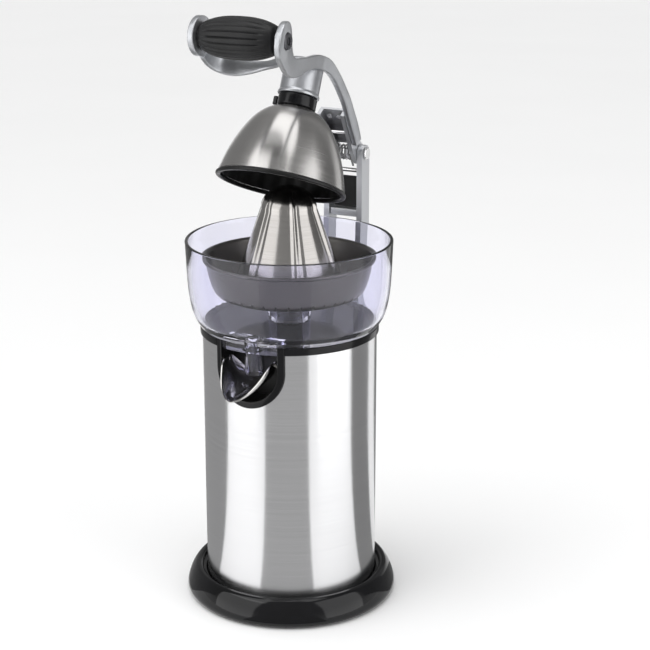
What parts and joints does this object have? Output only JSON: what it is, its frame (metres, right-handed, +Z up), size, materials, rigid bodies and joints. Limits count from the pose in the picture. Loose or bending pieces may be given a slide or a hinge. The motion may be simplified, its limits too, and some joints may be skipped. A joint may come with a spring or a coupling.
{
  "type": "citrus press juicer",
  "caption": "Electric citrus press: steel drum with a tilting pouring lip, clear bowl with strainer, fluted spinning reamer, and a hinged lever with a steel dome and a ribbed grip.",
  "frame": {"origin": "centre of the flat underside of the base, on the drum's axis", "axes": "+Z up, -Y out of the pouring spout, +Y towards the lever post, +X to the right seen from the front"},
  "size_m": [0.1424, 0.1725, 0.3946],
  "materials": {
    "gloss_black": "glossy moulded ABS",
    "matte_black": "fine moulded texture",
    "clear_plastic": "clear moulded plastic with a faint lavender tint",
    "brushed_steel": "round-brushed stainless steel",
    "polished_steel": "polished stainless steel",
    "dark_satin_steel": "satin stainless steel",
    "cast_aluminium": "satin die cast",
    "zinc_plate": "zinc-plated sheet",
    "nylon": "natural nylon",
    "white_plastic": "moulded acetal",
    "rubber_black": "matt rubber"
  },
  "bodies": {
    "base": {"base_skirt": "gloss_black", "spout_trim": "gloss_black", "top_trim": "gloss_black", "bottom_cover": "matte_black", "spout_housing": "matte_black", "drive_deck": "matte_black", "gear_cap": "matte_black", "press_switch": "matte_black", "post_panel": "matte_black", "juice_bowl": "clear_plastic", "steel_shell": "brushed_steel", "torsion_spring": "brushed_steel", "pivot_clip": "brushed_steel", "cover_screw_1": "brushed_steel", "cover_screw_2": "brushed_steel", "cover_screw_3": "brushed_steel", "rail_screw_left_low": "brushed_steel", "rail_screw_left_high": "brushed_steel", "rail_screw_right_low": "brushed_steel", "rail_screw_right_high": "brushed_steel", "pivot_pin": "polished_steel", "stop_pin": "polished_steel", "strainer": "dark_satin_steel", "motor_can": "dark_satin_steel", "arm_bracket": "cast_aluminium", "rail_left": "cast_aluminium", "rail_right": "cast_aluminium", "rail_tie": "cast_aluminium", "motor_chassis": "zinc_plate", "foot_1": "rubber_black", "foot_2": "rubber_black", "foot_3": "rubber_black", "foot_4": "rubber_black", "cord_gland": "rubber_black"},
    "press_carriage": {"thrust_plate": "polished_steel", "switch_plunger": "white_plastic"},
    "reamer": {"output_wheel": "nylon", "drive_spindle": "polished_steel", "reamer_core": "matte_black", "reamer_cone": "polished_steel"},
    "lay_gear": {"lay_wheel": "nylon", "lay_pinion": "polished_steel", "lay_shaft": "polished_steel"},
    "motor_rotor": {"motor_pinion": "polished_steel"},
    "spout": {"spout_scoop": "polished_steel"},
    "lever": {"lever_arm": "cast_aluminium", "lever_root": "cast_aluminium", "channel_pin": "polished_steel", "web_screw_left": "brushed_steel", "web_screw_right": "brushed_steel", "press_collar": "gloss_black", "press_dome": "brushed_steel", "dome_rim": "matte_black", "dome_liner": "matte_black", "handle_yoke": "cast_aluminium", "grip": "rubber_black", "grip_bolt": "brushed_steel", "grip_nut": "brushed_steel"},
    "latch": {"latch_tab": "gloss_black"}
  },
  "joints": [
    {"name": "lever_pivot", "type": "hinge", "parent": "base", "child": "lever", "pos_m": [0, 0.085, 0.286], "axis": [-1, 0, 0], "range_deg": [-25, 35], "stiffness_Nm_per_rad": 0.15, "springref_deg": 68.75, "deforming": ["torsion_spring"]},
    {"name": "spout_tilt", "type": "hinge", "parent": "base", "child": "spout", "pos_m": [0, -0.05, 0.174], "axis": [-1, 0, 0], "range_deg": [0, 38]},
    {"name": "reamer_press", "type": "slide", "parent": "base", "child": "press_carriage", "axis": [0, 0, -1], "range_m": [0, 0.0025], "stiffness_N_per_m": 2000, "springref_m": -0.002},
    {"name": "reamer_spin", "type": "hinge", "parent": "press_carriage", "child": "reamer", "pos_m": [0, 0, 0.1], "axis": [0, 0, 1], "continuous": true},
    {"name": "lay_spin", "type": "hinge", "parent": "base", "child": "lay_gear", "pos_m": [0, 0.0252, 0.1], "axis": [0, 0, 1], "continuous": true},
    {"name": "motor_spin", "type": "hinge", "parent": "base", "child": "motor_rotor", "pos_m": [0, 0, 0.1], "axis": [0, 0, 1], "continuous": true},
    {"name": "latch_tilt", "type": "hinge", "parent": "lever", "child": "latch", "pos_m": [-0.0135, 0.01084, 0.32809], "axis": [0, -0.9063, 0.4226], "range_deg": [0, 20], "stiffness_Nm_per_rad": 0.02}
  ],
  "couplings": [
    {"joint": "lay_spin", "follows": "reamer_spin", "ratio": -3.2},
    {"joint": "motor_spin", "follows": "reamer_spin", "ratio": 10.24}
  ]
}
